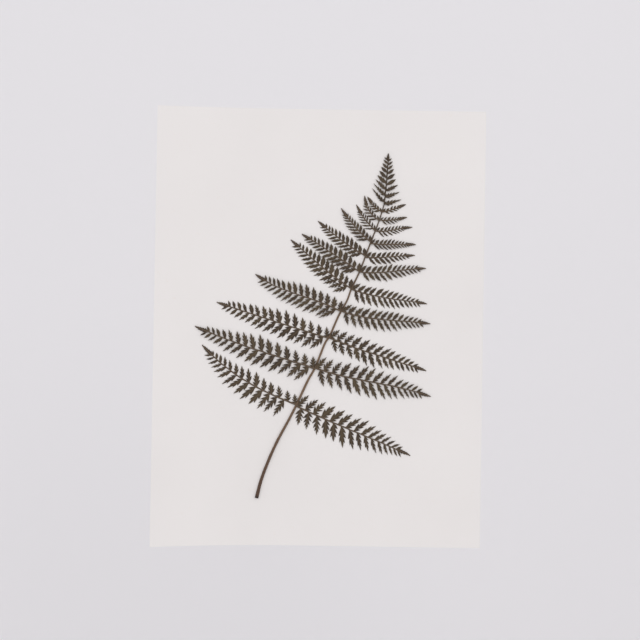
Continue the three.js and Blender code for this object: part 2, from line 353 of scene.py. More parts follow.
pinnule = {
    "thickness": 0.22 * mm,
    "edgeShare": 0.85,          # of the thickness, left at the edge
    "ribHeight": 0.1 * mm,
    "ribAt": 0.5,               # where its rib lies across the UV map
    "falcate": 0.05,            # how far its point leans to the tip of the pinna
    "overlap": 0.07 * mm,       # every other one of a row lies this much higher
    "stoutUpTo": 4,             # so many next to the stem count as longer than they are,
    "cutUpTo": 3,               # and so many are more deeply cut
    "formChance": 0.8 * mm,     # how much chance changes the length that picks the grade
    # from the ragged ones next to the stem to the plain ones near the tips. Each side is a row of
    # lobes, and each lobe its points (along, out) from its notch on; all of them end at (1, 0)
    "grades": [
        {"towardsTip": [
            [(0, 0.07)], [(0.04, 0.06), (0.13, 0.32), (0.28, 0.54)],
            [(0.23, 0.1), (0.36, 0.31), (0.53, 0.49)], [(0.42, 0.11), (0.54, 0.24), (0.72, 0.35)],
            [(0.62, 0.1), (0.74, 0.16), (0.86, 0.17)], [(0.8, 0.07)]],
         "towardsStem": [
            [(0, 0.06)], [(0.07, 0.06), (0.2, 0.28), (0.4, 0.5)],
            [(0.32, 0.1), (0.46, 0.28), (0.64, 0.4)], [(0.53, 0.1), (0.66, 0.2), (0.81, 0.25)],
            [(0.73, 0.08), (0.88, 0.09)]]},
        {"towardsTip": [
            [(0, 0.1)], [(0.05, 0.08), (0.15, 0.35), (0.33, 0.54)],
            [(0.27, 0.2), (0.41, 0.38), (0.58, 0.47)], [(0.5, 0.22), (0.62, 0.29), (0.79, 0.3)],
            [(0.72, 0.16), (0.87, 0.11)]],
         "towardsStem": [
            [(0, 0.08)], [(0.1, 0.08), (0.25, 0.3), (0.46, 0.47)],
            [(0.42, 0.2), (0.58, 0.32), (0.76, 0.36)], [(0.67, 0.16), (0.84, 0.12)]]},
        {"towardsTip": [
            [(0, 0.12)], [(0.05, 0.12), (0.15, 0.36), (0.33, 0.5)],
            [(0.29, 0.27), (0.43, 0.39), (0.58, 0.45)], [(0.53, 0.25), (0.65, 0.3), (0.8, 0.29)],
            [(0.75, 0.18), (0.88, 0.11)]],
         "towardsStem": [
            [(0, 0.08)], [(0.1, 0.1), (0.26, 0.33), (0.48, 0.46)],
            [(0.45, 0.27), (0.6, 0.34), (0.76, 0.34)], [(0.7, 0.2), (0.86, 0.12)]]},
        {"towardsTip": [
            [(0, 0.15)], [(0.06, 0.16), (0.2, 0.36), (0.42, 0.49)],
            [(0.4, 0.38), (0.53, 0.43), (0.68, 0.42)], [(0.65, 0.3), (0.76, 0.27), (0.87, 0.19)],
            [(0.84, 0.12)]],
         "towardsStem": [
            [(0, 0.1)], [(0.12, 0.14), (0.3, 0.34), (0.54, 0.47)],
            [(0.52, 0.37), (0.65, 0.38), (0.79, 0.31)], [(0.76, 0.21), (0.88, 0.13)]]},
        {"towardsTip": [
            [(0, 0.16)], [(0.08, 0.18), (0.22, 0.38)], [(0.4, 0.5), (0.6, 0.42)], [(0.8, 0.21)]],
         "towardsStem": [
            [(0, 0.1)], [(0.12, 0.15), (0.28, 0.34)], [(0.48, 0.47), (0.66, 0.36)],
            [(0.83, 0.17)]]},
    ],
    # the leaflets at the tip of the frond, likewise
    "leaflets": [
        {"towardsTip": [
            [(0, 0.1)], [(0.04, 0.12), (0.1, 0.4), (0.19, 0.58)],
            [(0.16, 0.24), (0.25, 0.46), (0.36, 0.6)], [(0.31, 0.22), (0.41, 0.37), (0.53, 0.47)],
            [(0.47, 0.18), (0.57, 0.27), (0.7, 0.34)], [(0.63, 0.14), (0.84, 0.13)]],
         "towardsStem": [
            [(0, 0.08)], [(0.07, 0.1), (0.17, 0.34), (0.29, 0.5)],
            [(0.25, 0.2), (0.35, 0.34), (0.48, 0.44)], [(0.41, 0.19), (0.52, 0.28), (0.65, 0.34)],
            [(0.59, 0.15), (0.82, 0.14)]]},
        {"towardsTip": [
            [(0, 0.1)], [(0.05, 0.1), (0.12, 0.3), (0.22, 0.5)],
            [(0.17, 0.18), (0.27, 0.38), (0.4, 0.54)], [(0.34, 0.24), (0.44, 0.38), (0.57, 0.46)],
            [(0.51, 0.22), (0.61, 0.31), (0.73, 0.34)], [(0.67, 0.18), (0.85, 0.13)]],
         "towardsStem": [
            [(0, 0.08)], [(0.08, 0.1), (0.2, 0.32), (0.33, 0.46)],
            [(0.27, 0.22), (0.38, 0.36), (0.52, 0.43)], [(0.45, 0.24), (0.56, 0.32), (0.69, 0.34)],
            [(0.63, 0.19), (0.83, 0.14)]]},
        {"towardsTip": [
            [(0, 0.1)], [(0.06, 0.12), (0.16, 0.33), (0.3, 0.48)],
            [(0.25, 0.28), (0.38, 0.43), (0.53, 0.51)], [(0.47, 0.32), (0.6, 0.37), (0.74, 0.35)],
            [(0.69, 0.21), (0.86, 0.14)]],
         "towardsStem": [
            [(0, 0.08)], [(0.1, 0.12), (0.26, 0.36), (0.4, 0.44)], [(0.38, 0.38), (0.58, 0.4)],
            [(0.78, 0.24)]]},
        {"towardsTip": [
            [(0, 0.1)], [(0.07, 0.14), (0.22, 0.36), (0.38, 0.49)],
            [(0.34, 0.4), (0.5, 0.46), (0.64, 0.42)], [(0.8, 0.25)]],
         "towardsStem": [
            [(0, 0.08)], [(0.12, 0.14), (0.28, 0.35)], [(0.46, 0.46), (0.64, 0.39)],
            [(0.82, 0.2)]]},
        {"towardsTip": [
            [(0, 0.12)], [(0.08, 0.15), (0.24, 0.37)], [(0.42, 0.48), (0.6, 0.43)], [(0.8, 0.25)]],
         "towardsStem": [
            [(0, 0.08)], [(0.12, 0.14), (0.28, 0.35)], [(0.46, 0.46), (0.64, 0.39)],
            [(0.82, 0.2)]]},
    ],
    "endLobe": {
        "towardsTip": [
            [(0, 0.16)], [(0.01, 0.18), (0.1, 0.38), (0.22, 0.5)],
            [(0.17, 0.27), (0.27, 0.38), (0.4, 0.45)], [(0.35, 0.25), (0.45, 0.34), (0.58, 0.39)],
            [(0.53, 0.23), (0.64, 0.29), (0.76, 0.3)], [(0.72, 0.19), (0.87, 0.16)]],
        "towardsStem": [
            [(0, 0.16)], [(0.05, 0.18), (0.16, 0.38), (0.3, 0.48)],
            [(0.26, 0.27), (0.36, 0.36), (0.48, 0.41)], [(0.44, 0.23), (0.54, 0.31), (0.66, 0.34)],
            [(0.62, 0.21), (0.74, 0.24), (0.84, 0.22)], [(0.81, 0.16), (0.91, 0.11)]]},
}


def pinnuleForm(name, grade, towardsTip):
    # a closed form with a raised rib, flat below; towardsTip is the side, +1 or -1 in y, that
    # faces the tip of the pinna
    bm = bmesh.new()
    uv = bm.loops.layers.uv.new("UVMap")
    thick = pinnule["thickness"]

    def corner(u, v, height):
        return bm.verts.new((u, v + pinnule["falcate"] * towardsTip * u * u, height))

    tip = corner(1, 0, thick)
    stations = sorted({lobe[0][0] for side in grade.values() for lobe in side})
    ribs = {u: corner(u, 0, thick + pinnule["ribHeight"]) for u in stations}
    ribs[1] = tip
    rims = []
    for side, lobes in ((towardsTip, grade["towardsTip"]), (-towardsTip, grade["towardsStem"])):
        edges = [[corner(u, side * v, thick * (pinnule["edgeShare"] if i else 1))
                  for i, (u, v) in enumerate(lobe)] for lobe in lobes]
        ends = [lobe[0][0] for lobe in lobes[1:]] + [1]
        follow = [edge[0] for edge in edges[1:]] + [tip]
        for lobe, edge, end, after in zip(lobes, edges, ends, follow):
            rib = [ribs[u] for u in sorted(ribs, reverse=True) if lobe[0][0] <= u <= end]
            outline = edge + [after] + rib
            pairs = zip(outline, outline[-1:] + outline)
            bm.faces.new([v for v, before in pairs if v is not before])
        rims.append([v for edge in edges for v in edge])
    ring = [ribs[0]] + rims[0] + [tip] + rims[1][::-1]
    under = [bm.verts.new((v.co.x, v.co.y, 0)) for v in ring]
    for a, b, c, d in zip(ring, under, under[1:] + under[:1], ring[1:] + ring[:1]):
        bm.faces.new((a, b, c, d))
    bm.faces.new(under[::-1])
    bmesh.ops.recalc_face_normals(bm, faces=bm.faces)
    for face in bm.faces:
        for loop in face.loops:
            u, v = loop.vert.co.x, loop.vert.co.y
            loop[uv].uv = (u, v - pinnule["falcate"] * towardsTip * u * u + pinnule["ribAt"])
    mesh = bpy.data.meshes.new(name)
    bm.to_mesh(mesh)
    bm.free()
    return bpy.data.objects.new(name, mesh)


def formCollection(name, grades, towardsTip):
    # not linked to the scene: only the node trees read it
    forms = bpy.data.collections.new(name)
    for k, grade in enumerate(grades):
        forms.objects.link(pinnuleForm(f"{name}{k}", grade, towardsTip))
    return forms


def newTree(name, inputs):
    # a node tree that takes the named inputs, and the sockets that give them inside it
    tree = bpy.data.node_groups.new(name, "GeometryNodeTree")
    for label, kind in inputs.items():
        tree.interface.new_socket(label, in_out="INPUT", socket_type="NodeSocket" + kind)
    tree.interface.new_socket("Geometry", in_out="OUTPUT", socket_type="NodeSocketGeometry")
    return tree, addNode(tree, "NodeGroupInput").outputs


# what both rows of a pinna share, and what each has of its own
rowInputs = dict.fromkeys([
    "Last At", "Crowding", "Lead", "Full At", "Tip Share", "Shortening", "Fill", "Fill At Tip",
    "Stoutest", "Near Stem", "Cut Near Stem", "Basal", "Plain Below", "Lobed Above",
    "Ragged"], "Float")
sideInputs = dict.fromkeys([
    "First At", "Stagger", "Base Share", "Longest", "Base Angle", "Tip Angle"], "Float")


def pinnuleRowTree():
    # one side of a pinna: pinnules along its axis, closer and shorter towards its tip
    tree, given = newTree("pinnuleRow", {
        "Axis": "Geometry", "Forms": "Collection", "Side": "Float", "Count": "Int", "Seed": "Int",
        **rowInputs, **sideInputs})
    maths, ranged = "ShaderNodeMath", "ShaderNodeMapRange"
    index = addNode(tree, "GeometryNodeInputIndex")
    # the two sides take turns: a row may begin up to half a gap later than the other
    gaps = addNode(tree, maths, [given["Count"], 0.5], operation="SUBTRACT")
    order = addNode(tree, maths, [index, given["Stagger"]], operation="ADD")
    order = addNode(tree, maths, [order, gaps], operation="DIVIDE")
    rest = addNode(tree, maths, [1, order], operation="SUBTRACT")
    # share = order + crowding * order ** lead * (1 - order), from First At to Last At
    led = addNode(tree, maths, [order, given["Lead"]], operation="POWER")
    pushed = addNode(tree, maths, [led, rest], operation="MULTIPLY")
    along = addNode(tree, maths, [pushed, given["Crowding"], order], operation="MULTIPLY_ADD")
    share = addNode(tree, ranged, {
        "Value": along, "To Min": given["First At"], "To Max": given["Last At"]})
    spot = addNode(tree, "GeometryNodeSampleCurve", {"Curves": given["Axis"], "Factor": share})
    # the slope of that rule gives the room that each pinnule has
    lessLed = addNode(tree, maths, [given["Lead"], 1], operation="SUBTRACT")
    lessLed = addNode(tree, maths, [order, lessLed], operation="POWER")
    lessLed = addNode(tree, maths, [lessLed, given["Lead"]], operation="MULTIPLY")
    slope = addNode(tree, maths, [lessLed, rest], operation="MULTIPLY")
    slope = addNode(tree, maths, [slope, led], operation="SUBTRACT")
    slope = addNode(tree, maths, [slope, given["Crowding"], 1], operation="MULTIPLY_ADD")
    stretch = addNode(tree, maths, [given["Last At"], given["First At"]], operation="SUBTRACT")
    spacing = addNode(tree, maths, [stretch, gaps], operation="DIVIDE")
    length = addNode(tree, "GeometryNodeCurveLength", [given["Axis"]])
    pitch = addNode(tree, maths, [spacing, length], operation="MULTIPLY")
    pitch = addNode(tree, maths, [pitch, slope], operation="MULTIPLY")
    # four chances for each pinnule, between -1 and 1
    chances = []
    for number in range(4):
        seed = addNode(tree, maths, [given["Seed"], number], operation="ADD")
        chances.append(addNode(tree, "FunctionNodeRandomValue", {2: -1, 3: 1, 8: seed}).outputs[1])
    longer = addNode(tree, maths, [chances[0], given["Ragged"], 1], operation="MULTIPLY_ADD")
    wider = addNode(tree, maths, [chances[1], given["Ragged"], 1], operation="MULTIPLY_ADD")
    # its length
    grown = addNode(tree, ranged, {
        "Value": share, "From Max": given["Full At"], "To Min": given["Base Share"]})
    past = addNode(tree, ranged, {
        "Value": share, "From Min": given["Full At"], "From Max": given["Last At"]})
    past = addNode(tree, maths, [past, given["Shortening"]], operation="POWER")
    shrunk = addNode(tree, ranged, {"Value": past, "To Min": 1, "To Max": given["Tip Share"]})
    reach = addNode(tree, maths, [grown, shrunk], operation="MULTIPLY")
    reach = addNode(tree, maths, [reach, given["Longest"]], operation="MULTIPLY")
    reach = addNode(tree, maths, [reach, longer], operation="MULTIPLY")
    first = addNode(tree, maths, [index, 1], operation="LESS_THAN")
    first = addNode(tree, maths, [first, given["Basal"], 1], operation="MULTIPLY_ADD")
    reach = addNode(tree, maths, [reach, first], operation="MULTIPLY")
    # its angle
    slant = addNode(tree, ranged, {
        "Value": order, "To Min": given["Base Angle"], "To Max": given["Tip Angle"]})
    slant = addNode(tree, maths, [chances[2], given["Ragged"], slant], operation="MULTIPLY_ADD")
    heading = addNode(tree, "ShaderNodeSeparateXYZ", [spot.outputs["Tangent"]]).outputs
    heading = addNode(tree, maths, [heading["Y"], heading["X"]], operation="ARCTAN2")
    turn = addNode(tree, maths, [slant, given["Side"], heading], operation="MULTIPLY_ADD")
    turn = addNode(tree, "ShaderNodeCombineXYZ", {"Z": turn})
    # the first few count as longer than they are, the nearer to the stem the more so
    early = addNode(tree, ranged, {
        "Value": index, "From Max": pinnule["stoutUpTo"],
        "To Min": given["Near Stem"], "To Max": 1})
    # its width: a share of its room, but never stouter than its length allows
    fill = addNode(tree, ranged, {
        "Value": order, "To Min": given["Fill"], "To Max": given["Fill At Tip"]})
    across = addNode(tree, maths, [slant], operation="SINE")
    width = addNode(tree, maths, [pitch, fill], operation="MULTIPLY")
    width = addNode(tree, maths, [width, across], operation="MULTIPLY")
    judged = addNode(tree, maths, [reach, early], operation="MULTIPLY")
    stoutest = addNode(tree, maths, [judged, given["Stoutest"]], operation="MULTIPLY")
    width = addNode(tree, maths, [width, stoutest], operation="MINIMUM")
    width = addNode(tree, maths, [width, wider], operation="MULTIPLY")
    size = addNode(tree, "ShaderNodeCombineXYZ", [reach, width, 1])
    # the longer it is, the more deeply it is cut, and the first few by up to a grade more
    judged = addNode(tree, maths, [chances[3], pinnule["formChance"], judged],
                     operation="MULTIPLY_ADD")
    plainest = len(pinnule["grades"]) - 0.01     # rounds down to the last grade
    form = addNode(tree, ranged, {
        "Value": judged, "From Min": given["Plain Below"], "From Max": given["Lobed Above"],
        "To Min": plainest, "To Max": 1})
    nextToStem = addNode(tree, maths, [index, pinnule["cutUpTo"]], operation="LESS_THAN")
    deeper = addNode(tree, maths, [nextToStem, given["Cut Near Stem"]], operation="MULTIPLY")
    form = addNode(tree, maths, [form, deeper], operation="SUBTRACT")
    form = addNode(tree, maths, [form], operation="FLOOR")
    # neighbours lie a hair over one another, by turns
    lift = addNode(tree, maths, [index, 2], operation="MODULO")
    lift = addNode(tree, maths, [lift, pinnule["overlap"]], operation="MULTIPLY")
    lift = addNode(tree, "ShaderNodeCombineXYZ", {"Z": lift})
    place = addNode(tree, "ShaderNodeVectorMath", [spot.outputs["Position"], lift], operation="ADD")
    points = addNode(tree, "GeometryNodePoints", [given["Count"], place])
    forms = addNode(tree, "GeometryNodeCollectionInfo", [given["Forms"], True, True])
    row = addNode(tree, "GeometryNodeInstanceOnPoints", {
        "Points": points, "Instance": forms, "Pick Instance": True, "Instance Index": form,
        "Rotation": turn, "Scale": size})
    toned = addNode(tree, "GeometryNodeStoreNamedAttribute", {
        "Geometry": row, "Name": "tone", "Value": chances[1]}, domain="INSTANCE")
    addNode(tree, "NodeGroupOutput", [toned])
    return tree


def pinnaTree(rowTree):
    # a whole pinna, flat and face up: its axis, a row of pinnules on each side and its end lobe
    tree, given = newTree("pinna", {
        "Geometry": "Geometry", "Start": "Vector", "Start Handle": "Vector", "End Handle": "Vector",
        "End": "Vector", "Left Forms": "Collection", "Right Forms": "Collection", "Count": "Int",
        "End Lobe": "Object", "Lobe Length": "Float", "Lobe Width": "Float", "Costa Low": "Float",
        "Costa High": "Float", "Costa Lift": "Float", "Seed": "Int", "Blade": "Material",
        "Costa": "Material", **rowInputs,
        **{f"{side} {name}": kind
           for side in ("Left", "Right") for name, kind in sideInputs.items()}})
    axis = addNode(tree, "GeometryNodeCurvePrimitiveBezierSegment", {
        "Resolution": frond["axisSteps"],
        **{name: given[name] for name in ("Start", "Start Handle", "End Handle", "End")}})
    rows = []
    for side, turn, later in (("Left", 1, 0), ("Right", -1, frond["seedsApart"])):
        seed = addNode(tree, "ShaderNodeMath", [given["Seed"], later], operation="ADD")
        rows.append(addNode(tree, "GeometryNodeGroup", node_tree=rowTree))
        feeds = {"Axis": axis.outputs[0], "Forms": given[f"{side} Forms"], "Count": given["Count"],
                 "Seed": seed.outputs[0]}
        feeds.update({name: given[name] for name in rowInputs})
        feeds.update({name: given[f"{side} {name}"] for name in sideInputs})
        for name, socket in feeds.items():
            tree.links.new(socket, rows[-1].inputs[name])
        rows[-1].inputs["Side"].default_value = turn
    # the end lobe lies along the last stretch of the axis
    length = addNode(tree, "GeometryNodeCurveLength", [axis])
    foot = addNode(tree, "ShaderNodeMath", [length, given["Lobe Length"]], operation="SUBTRACT")
    foot = addNode(tree, "GeometryNodeSampleCurve", {"Curves": axis, "Length": foot}, mode="LENGTH")
    foot = foot.outputs["Position"]
    reach = addNode(tree, "ShaderNodeVectorMath", [given["End"], foot], operation="SUBTRACT")
    heading = addNode(tree, "ShaderNodeSeparateXYZ", [reach]).outputs
    turn = addNode(tree, "ShaderNodeMath", [heading["Y"], heading["X"]], operation="ARCTAN2")
    turn = addNode(tree, "ShaderNodeCombineXYZ", {"Z": turn})
    reach = addNode(tree, "ShaderNodeVectorMath", [reach], operation="LENGTH").outputs["Value"]
    size = addNode(tree, "ShaderNodeCombineXYZ", [reach, given["Lobe Width"], 1])
    point = addNode(tree, "GeometryNodePoints", [1, foot])
    lobe = addNode(tree, "GeometryNodeObjectInfo", [given["End Lobe"], True])
    lobe = addNode(tree, "GeometryNodeInstanceOnPoints", {
        "Points": point, "Instance": lobe.outputs["Geometry"], "Rotation": turn, "Scale": size})
    # the costa is a low ridge along the axis
    factor = addNode(tree, "GeometryNodeSplineParameter")
    radius = addNode(tree, "ShaderNodeMapRange", {
        "Value": factor, "To Min": given["Costa Low"], "To Max": given["Costa High"]})
    profile = addNode(tree, "GeometryNodeCurvePrimitiveCircle", [frond["costaSides"]])
    ridge = addNode(tree, "GeometryNodeCurveToMesh", [axis, profile, radius, True])
    lift = addNode(tree, "ShaderNodeCombineXYZ", {"Z": given["Costa Lift"]})
    ridge = addNode(tree, "GeometryNodeTransform", {
        "Geometry": ridge, "Translation": lift, "Scale": (1, 1, frond["costaFlatness"])})
    ridge = addNode(tree, "GeometryNodeStoreNamedAttribute", {
        "Geometry": ridge, "Name": "costa", "Value": True}, data_type="BOOLEAN", domain="FACE")
    pinna = addNode(tree, "GeometryNodeJoinGeometry")
    for part in (ridge, lobe, rows[1], rows[0]):
        tree.links.new(part.outputs[0], pinna.inputs[0])
    pinna = addNode(tree, "GeometryNodeRealizeInstances", [pinna])
    pinna = addNode(tree, "GeometryNodeSetMaterial", {
        "Geometry": pinna, "Material": given["Blade"]})
    onCosta = addNode(tree, "GeometryNodeInputNamedAttribute", ["costa"], data_type="BOOLEAN")
    pinna = addNode(tree, "GeometryNodeSetMaterial", {
        "Geometry": pinna, "Selection": onCosta, "Material": given["Costa"]})
    addNode(tree, "NodeGroupOutput", [pinna])
    return tree


def driedBlade():
    # pressed and dried leaf: olive brown gone dull, each pinnule a little different, with paler
    # veins
    look = {
        "dark": "#372d25", "brown": "#4a3e33", "olive": "#544838", "vein": "#5d503d",
        "blotch": 5 * mm,
        "oliveFrom": -0.3, "oliveMost": 0.8,    # by the chance that each pinnule has, -1 to 1
        # the midrib's tone begins and is full so far off it, in widths, and is at most so strong
        "ribFrom": 0.09, "ribFull": 0.03, "ribMost": 0.6,
        "veinSpacing": 0.07,    # of a pinnule's length, about 1 mm
        "veinSlant": -0.3, "veinWidth": 0.012, "veinMost": 0.3,
        "pucker": 0.8 * mm,
        "relief": 0.08 * mm, "reliefStrength": 0.5,
    }
    material, tree, shader = newMaterial("driedFernLeaf", roughness=0.82, ior=1.43, gloss=0.35)
    place = addNode(tree, "ShaderNodeTexCoord").outputs["Object"]
    tone = addNode(tree, "ShaderNodeAttribute", attribute_name="tone").outputs["Fac"]
    blotch = addNode(tree, "ShaderNodeTexNoise", {
        "Vector": place, "Scale": 1 / look["blotch"], "Detail": 3})
    base = addNode(tree, "ShaderNodeMix", {
        0: blotch, 6: linear(look["dark"]), 7: linear(look["brown"])}, data_type="RGBA")
    tone = addNode(tree, "ShaderNodeMapRange", {
        "Value": tone, "From Min": look["oliveFrom"], "To Max": look["oliveMost"]})
    body = addNode(tree, "ShaderNodeMix", {
        0: tone, 6: base.outputs[2], 7: linear(look["olive"])}, data_type="RGBA")
    spread = addNode(tree, "ShaderNodeUVMap", uv_map="UVMap")
    spread = addNode(tree, "ShaderNodeSeparateXYZ", [spread]).outputs
    offRib = addNode(tree, "ShaderNodeMath", [spread["Y"], pinnule["ribAt"]], operation="SUBTRACT")
    offRib = addNode(tree, "ShaderNodeMath", [offRib], operation="ABSOLUTE")
    rib = addNode(tree, "ShaderNodeMapRange", {
        "Value": offRib, "From Min": look["ribFrom"], "From Max": look["ribFull"],
        "To Max": look["ribMost"]})
    swept = addNode(tree, "ShaderNodeMath", [offRib, look["veinSlant"], spread["X"]],
                    operation="MULTIPLY_ADD")
    comb = addNode(tree, "ShaderNodeMath", [swept, look["veinSpacing"]], operation="PINGPONG")
    comb = addNode(tree, "ShaderNodeMapRange", {
        "Value": comb, "From Min": look["veinWidth"], "From Max": 0, "To Max": look["veinMost"]})
    veins = addNode(tree, "ShaderNodeMath", [rib, comb], operation="MAXIMUM")
    colour = addNode(tree, "ShaderNodeMix", {
        0: veins, 6: body.outputs[2], 7: linear(look["vein"])}, data_type="RGBA")
    tree.links.new(colour.outputs[2], shader.inputs["Base Color"])
    pucker = addNode(tree, "ShaderNodeTexNoise", {
        "Vector": place, "Scale": 1 / look["pucker"], "Detail": 3})
    bump = addNode(tree, "ShaderNodeBump", {
        "Height": pucker, "Strength": look["reliefStrength"], "Distance": look["relief"]})
    tree.links.new(bump.outputs[0], shader.inputs["Normal"])
    return material


def driedCosta():
    # the axis of a pinna, dried a little paler than the blade, with a faint waxy skin
    look = {"pale": "#65533f", "dark": "#4b3e32", "blotch": 3 * mm}
    material, tree, shader = newMaterial("driedFernCosta", roughness=0.65, ior=1.48)
    place = addNode(tree, "ShaderNodeTexCoord").outputs["Object"]
    blotch = addNode(tree, "ShaderNodeTexNoise", {
        "Vector": place, "Scale": 1 / look["blotch"], "Detail": 3})
    colour = addNode(tree, "ShaderNodeMix", {
        0: blotch, 6: linear(look["dark"]), 7: linear(look["pale"])}, data_type="RGBA")
    tree.links.new(colour.outputs[2], shader.inputs["Base Color"])
    return material


# the pinnae, from the lowest up; their table is in millimetres and degrees

frond = {
    "lowerLayer": 0.3 * mm,     # height over the card of the odd pinnae
    "upperLayer": 0.9 * mm,     # and of the even ones, which cross them
    "firstFoot": 0.1 * mm,      # from the side of the stem to the first pinnule
    "climb": 1.25 * mm,         # how far the foot of a pinna climbs on to the face of the stem
    "climbWithin": 5 * mm,      # beginning this far away
    "ripple": 0.09 * mm,        # the dried blade isn't quite flat
    "rippleLength": 7 * mm,
    "waver": 0.35 * mm,         # nor are its edges regular
    "waverLength": 5 * mm,
    "noiseApart": 0.1,          # between the noise of one pinna and the next
    "edgeAngle": 38,            # degrees; a sharper fold of the mesh is an edge
    "axisSteps": 40,
    "costaSides": 8,
    "costaFlatness": 0.45,      # its height as a share of its width
    "seedStep": 10,             # from one pinna to the next,
    "seedsApart": 50,           # and between the two sides of one
    "stagger": (0, 0.5),        # how many gaps late the rows above and below begin
    # of two values below, the first is for the lowest pinna, the other for this one and up
    "changeUpTo": 6,
    "lobeLength": (13.5 * mm, 9.5 * mm),    # the toothed end of a pinna
    "lobeShare": 0.34,          # at most, of the pinna's length
    "lobeOverlap": 0.95,        # the last pinnule stands this share of it back from the tip
    # the first pinnule's share of the longest one's length, above and below
    "shareAtStem": {"left": (0.7, 1), "right": (0.84, 0.84)},
    "rows": {
        "Crowding": (0.45, 0.22), "Lead": (1.5, 1.4), "Full At": (0.43, 0.3),
        "Tip Share": (0.38, 0.46), "Shortening": (1.35, 1.35), "Fill At Tip": (0.68, 0.64),
        "Stoutest": (0.48, 0.47), "Near Stem": (1.4, 1.15), "Cut Near Stem": (1, 0),
        "Basal": (0, 0.1), "Plain Below": (5 * mm, 5 * mm), "Lobed Above": (12 * mm, 17 * mm),
        "Ragged": (0.06, 0.05), "Lobe Width": (4.6 * mm, 3.6 * mm),
        "Costa Low": (0.8 * mm, 0.6 * mm), "Costa High": (0.45 * mm, 0.4 * mm),
        "Costa Lift": (0.22 * mm, 0.22 * mm)},
    # the columns: height on the stem, tip (x, z), sideways push of the axis at a third and at two
    # thirds, pinnules a side, axis left bare beside the stem below, the row above and then the row
    # below (longest pinnule, angle at the base, angle at the tip), and the width of a pinnule as a
    # share of the room it has
    "left": [
        (-71, (-106.6, -17.3), (7.5, 10), 14, 7.5, (13.8, 68, 45), (18, 78, 50), 1.18),
        (-37.5, (-113.1, -0.4), (0.9, 3.7), 15, 0, (15.5, 72, 48), (18.3, 60, 50), 1.16),
        (-9.5, (-94.2, 21.9), (0.7, 0.7), 15, 0, (14.4, 70, 50), (17.4, 58, 48), 1.32),
        (15, (-59.4, 47.9), (-2.8, 6.8), 14, 0.5, (13.2, 70, 48), (17, 54, 48), 1.2),
        (36, (-27.5, 80.1), (2.6, 0.8), 13, 0.5, (11.2, 64, 48), (14.2, 56, 46), 1.5),
        (51.5, (-17.2, 85.5), (-0.8, -0.4), 12, 0.5, (10, 62, 48), (13, 46, 44), 1.3),
        (66, (-2.7, 97.6), (1.5, 1.9), 11, 1, (9.4, 56, 44), (11.8, 44, 42), 1.28),
        (79, (18.4, 109.6), (2.1, 2.1), 9, 0.5, (7.4, 50, 42), (10.8, 42, 40), 1.1),
        (89.3, (32.2, 113.1), (1.6, 2.3), 7, 0, (6.4, 46, 40), (8.4, 42, 40), 0.78),
        (98.8, (39.6, 121.2), (4.4, 4.7), 6, 0, (5.4, 44, 38), (7.2, 40, 38), 0.84),
        (106.8, (42.4, 120.2), (2.4, 1), 5, 0, (4.8, 44, 38), (5.6, 40, 38), 1.1),
    ],
    "right": [
        (-72, (84.8, -116.1), (-1.8, 1.1), 15, 0, (17.8, 68, 40), (19, 76, 40), 1.12),
        (-37, (102.7, -61.7), (-3.9, 3.9), 15, 0, (16.3, 68, 42), (18.7, 62, 42), 1.05),
        (-9, (98.4, -38.2), (-2.3, -0.2), 14, 0, (14.2, 62, 42), (15, 56, 42), 1.24),
        (15.5, (101.6, 5), (-6.1, -0.1), 14, 0, (12, 56, 42), (14.4, 58, 43), 1.1),
        (35.5, (98.1, 23.1), (-3.8, -0.6), 13, 0, (10.7, 56, 42), (13.2, 54, 42), 1.08),
        (51.5, (96.9, 55.7), (-4.1, 0.9), 12, 0, (9.4, 52, 42), (11.3, 50, 42), 0.95),
        (65, (86.7, 67.3), (-2.1, 0.7), 9, 0, (7.6, 50, 40), (10, 42, 40), 1.05),
        (77.5, (87.2, 77), (-1.1, 1.1), 10, 0, (6.6, 52, 42), (8.8, 38, 38), 0.9),
        (89.3, (83.8, 93), (-3.5, 1.9), 8, 0, (5.8, 50, 40), (8.2, 37, 36), 0.84),
        (99, (78.8, 102.1), (-1.8, -0.4), 6, 0, (4.9, 44, 38), (7, 35, 34), 0.72),
        (106.6, (77.7, 114), (-1.9, 0.1), 5, 0, (4.8, 42, 36), (5.8, 27, 30), 1),
    ],
}

# the frond's tip: toothed leaflets, then plain ones, shorter and closer towards its point
frondTip = {
    "near": (59.0, 124), "far": (60.3, 145), "end": (60.9, 160.2),
    "seed": 40,
    "values": {
        "Count": 9, "Last At": 0.88, "Crowding": 0.36, "Lead": 1, "Full At": 0, "Tip Share": 0.25,
        "Shortening": 0.9, "Fill": 0.76, "Fill At Tip": 1.35, "Stoutest": 0.36, "Near Stem": 1,
        "Cut Near Stem": 0.6, "Basal": 0, "Plain Below": 7.5 * mm, "Lobed Above": 15 * mm,
        "Ragged": 0.04, "Lobe Length": 6.5 * mm, "Lobe Width": 3.4 * mm, "Costa Low": 0.6 * mm,
        "Costa High": 0.5 * mm, "Costa Lift": 0.22 * mm,
        "Left First At": 0, "Left Stagger": 0.3, "Left Base Share": 1, "Left Longest": 18.4 * mm,
        "Left Base Angle": math.radians(49), "Left Tip Angle": math.radians(52),
        "Right First At": 0.01, "Right Stagger": 0, "Right Base Share": 1,
        "Right Longest": 16.8 * mm, "Right Base Angle": math.radians(65),
        "Right Tip Angle": math.radians(42)},
}

pinnuleForms = {"Left Forms": formCollection("pinnuleLeft", pinnule["grades"], -1),
                "Right Forms": formCollection("pinnuleRight", pinnule["grades"], 1)}
leafletForms = {"Left Forms": formCollection("leafletLeft", pinnule["leaflets"], -1),
                "Right Forms": formCollection("leafletRight", pinnule["leaflets"], 1)}
endForm = pinnuleForm("endLobe", pinnule["endLobe"], 1)
blade, costa = driedBlade(), driedCosta()
pinnaNodes = pinnaTree(pinnuleRowTree())


